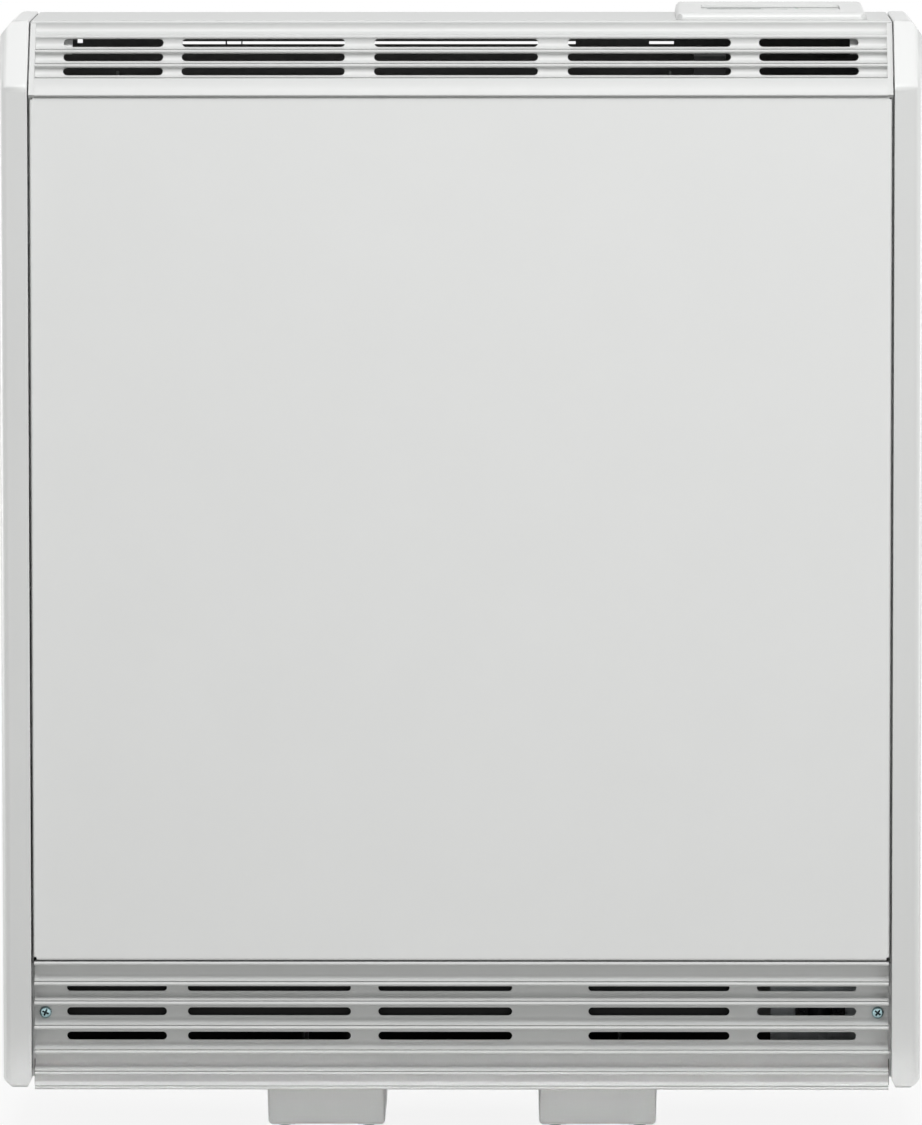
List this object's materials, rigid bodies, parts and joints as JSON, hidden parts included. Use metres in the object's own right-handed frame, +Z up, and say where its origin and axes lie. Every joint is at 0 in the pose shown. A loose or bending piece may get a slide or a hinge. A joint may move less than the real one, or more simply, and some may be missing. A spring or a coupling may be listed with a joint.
{
  "type": "storage heater",
  "caption": "Slim floor-standing storage heater with folded front panel, inclined outlet grille, ribbed intake grille, moulded cheeks, top control pod and foot covers",
  "frame": {"origin": "on the floor under the middle of the heater's width and depth", "axes": "+X to the viewer's right when facing the front, +Y towards the wall, +Z up"},
  "size_m": [0.582, 0.15, 0.7138],
  "materials": {
    "white_powder_coat": "satin",
    "white_moulding": "satin",
    "galvanised_sheet": "satin",
    "zinc_screw": "satin",
    "fascia_moulding": "satin",
    "smoked_window": "gloss",
    "display_black": "matte",
    "lens_clear": "gloss",
    "button_moulding": "satin",
    "black_moulding": "matte",
    "dark_rubber": "matte",
    "circuit_board": "satin",
    "ceramic_wool_board": "matte",
    "storage_brick": "matte",
    "element_sheath": "satin",
    "shaft_steel": "polished",
    "brass_plunger": "satin",
    "terminal_moulding": "satin"
  },
  "bodies": {
    "casing": {"front_panel": "white_powder_coat", "upper_grille": "white_powder_coat", "lower_grille": "white_powder_coat", "left_cheek": "white_moulding", "right_cheek": "white_moulding", "top_cover": "white_powder_coat", "back_panel": "galvanised_sheet", "base_tray": "galvanised_sheet", "left_side_plate": "white_powder_coat", "right_side_plate": "white_powder_coat", "left_foot_cover": "white_moulding", "right_foot_cover": "white_moulding", "leg_brackets": "galvanised_sheet", "foot_pads": "dark_rubber", "wall_spacers": "black_moulding", "grille_screws": "zinc_screw", "control_pod": "white_moulding", "pod_fascia": "fascia_moulding", "pod_tray": "fascia_moulding", "display_window": "smoked_window", "display_module": "display_black", "status_lens": "lens_clear", "control_board": "circuit_board", "case_shell": "galvanised_sheet", "case_front": "galvanised_sheet", "case_back": "galvanised_sheet", "case_top": "galvanised_sheet", "insulation_front": "ceramic_wool_board", "insulation_back": "ceramic_wool_board", "insulation_left": "ceramic_wool_board", "insulation_right": "ceramic_wool_board", "insulation_top": "ceramic_wool_board", "insulation_base": "ceramic_wool_board", "brick_row_1": "storage_brick", "brick_row_2": "storage_brick", "brick_row_3": "storage_brick", "brick_row_4": "storage_brick", "element_lower": "element_sheath", "element_middle": "element_sheath", "element_upper": "element_sheath", "core_rails": "galvanised_sheet", "damper_bearings": "galvanised_sheet", "actuator_body": "black_moulding", "power_board": "circuit_board", "board_pillars": "fascia_moulding", "terminal_bracket": "galvanised_sheet", "terminal_block": "terminal_moulding", "cable_clamp": "black_moulding", "cable_grommet": "dark_rubber", "core_sensor": "shaft_steel", "thermal_cutout": "black_moulding", "room_sensor": "fascia_moulding"},
    "damper": {"damper_flap": "galvanised_sheet", "damper_shaft": "shaft_steel"},
    "plunger": {"actuator_plunger": "brass_plunger"},
    "mode_button": {"mode_button": "button_moulding"},
    "minus_button": {"minus_button": "button_moulding"},
    "plus_button": {"plus_button": "button_moulding"},
    "boost_button": {"boost_button": "button_moulding"}
  },
  "joints": [
    {"name": "damper_hinge", "type": "hinge", "parent": "casing", "child": "damper", "pos_m": [0, -0.012, 0.6672], "axis": [-1, 0, 0], "range_deg": [0, 40]},
    {"name": "plunger_slide", "type": "slide", "parent": "casing", "child": "plunger", "axis": [0, 1, 0], "range_m": [0, 0.0055]},
    {"name": "mode_press", "type": "slide", "parent": "casing", "child": "mode_button", "axis": [0, 0, -1], "range_m": [0, 0.0008], "stiffness_N_per_m": 400},
    {"name": "minus_press", "type": "slide", "parent": "casing", "child": "minus_button", "axis": [0, 0, -1], "range_m": [0, 0.0008], "stiffness_N_per_m": 400},
    {"name": "plus_press", "type": "slide", "parent": "casing", "child": "plus_button", "axis": [0, 0, -1], "range_m": [0, 0.0008], "stiffness_N_per_m": 400},
    {"name": "boost_press", "type": "slide", "parent": "casing", "child": "boost_button", "axis": [0, 0, -1], "range_m": [0, 0.0008], "stiffness_N_per_m": 400}
  ],
  "couplings": [
    {"joint": "plunger_slide", "follows": "damper_hinge", "m_per_rad": 0.0078}
  ]
}
